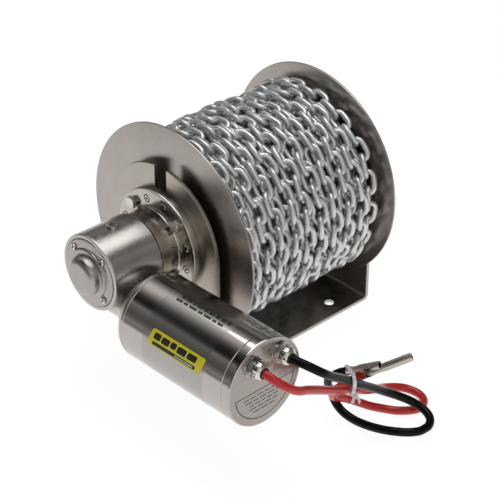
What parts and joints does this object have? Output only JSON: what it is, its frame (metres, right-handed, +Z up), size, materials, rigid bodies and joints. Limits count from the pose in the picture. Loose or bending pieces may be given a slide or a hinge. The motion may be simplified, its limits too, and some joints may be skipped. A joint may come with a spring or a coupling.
{
  "type": "anchor windlass",
  "caption": "Electric drum anchor winch: folded frame, flanged drum wound with rope and chain, right-angle worm gearbox, side-slung motor and two tied supply cables",
  "frame": {"origin": "centre of the base plate's underside, midway between the outer faces of the uprights", "axes": "+X along the drum axis away from the gearbox, +Z up from the mounting face, the motor points along -Y"},
  "size_m": [0.3622, 0.4315, 0.2637],
  "materials": {
    "stainless": "fine brushed stainless steel",
    "polished_case": "polished, clear film over it",
    "cast_case": "satin machined casting",
    "bright_fasteners": "bright stainless",
    "bearing_steel": "ground steel",
    "bronze": "machined bronze",
    "copper": "copper",
    "ferrite": "sintered ferrite and carbon",
    "phenolic": "phenolic board",
    "seal_rubber": "matt",
    "nickel": "nickel and tin plate",
    "red_cable": "satin red sheath",
    "black_cable": "satin black sheath",
    "clear_nylon": "translucent nylon",
    "rope": "white double braid with blue flecks",
    "galvanised": "dull galvanised"
  },
  "bodies": {
    "frame": {"base_frame": "stainless", "output_housing": "stainless", "gear_housing": "cast_case", "housing_cover": "cast_case", "cover_screw_1": "bright_fasteners", "cover_screw_2": "bright_fasteners", "cover_screw_3": "bright_fasteners", "cover_screw_4": "bright_fasteners", "flange_bolt_1": "bright_fasteners", "flange_bolt_2": "bright_fasteners", "flange_bolt_3": "bright_fasteners", "flange_bolt_4": "bright_fasteners", "flange_screw_1": "bright_fasteners", "flange_screw_2": "bright_fasteners", "flange_screw_3": "bright_fasteners", "flange_screw_4": "bright_fasteners", "flange_screw_5": "bright_fasteners", "flange_screw_6": "bright_fasteners", "flange_screw_7": "bright_fasteners", "flange_screw_8": "bright_fasteners", "oil_plug": "bright_fasteners", "output_bearing_cover": "bearing_steel", "output_bearing_neck": "bearing_steel", "output_seal": "seal_rubber", "worm_bearing_drive": "bearing_steel", "worm_bearing_end": "bearing_steel", "motor_front_bearing": "bearing_steel", "motor_can": "polished_case", "motor_rear_cap": "polished_case", "motor_front_cap": "cast_case", "magnet_upper": "ferrite", "magnet_lower": "ferrite", "brush_plate": "phenolic", "brush_positive": "ferrite", "brush_negative": "ferrite", "far_bearing_housing": "cast_case", "far_bush": "bronze", "far_bolt_1": "bright_fasteners", "far_bolt_2": "bright_fasteners", "gland_body_red": "nickel", "gland_body_black": "nickel", "gland_nut_red": "nickel", "gland_nut_black": "nickel", "red_cable": "red_cable", "black_cable": "black_cable", "red_connector": "nickel", "black_connector": "nickel", "cable_tie": "clear_nylon"},
    "drum": {"drum_core": "stainless", "drum_flange_near": "stainless", "drum_flange_far": "stainless", "drum_shaft": "bearing_steel", "worm_wheel": "bronze", "wheel_key": "bearing_steel", "rope_winding": "rope", "chain_winding": "galvanised"},
    "rotor": {"worm_shaft": "bearing_steel", "armature_core": "bearing_steel", "armature_winding": "copper", "commutator": "copper"}
  },
  "joints": [
    {"name": "drum_spin", "type": "hinge", "parent": "frame", "child": "drum", "pos_m": [0, 0, 0.1387], "axis": [1, 0, 0], "continuous": true},
    {"name": "worm_spin", "type": "hinge", "parent": "frame", "child": "rotor", "pos_m": [-0.1826, 0, 0.1036], "axis": [0, 1, 0], "continuous": true}
  ],
  "couplings": [
    {"joint": "worm_spin", "follows": "drum_spin", "ratio": -42}
  ]
}
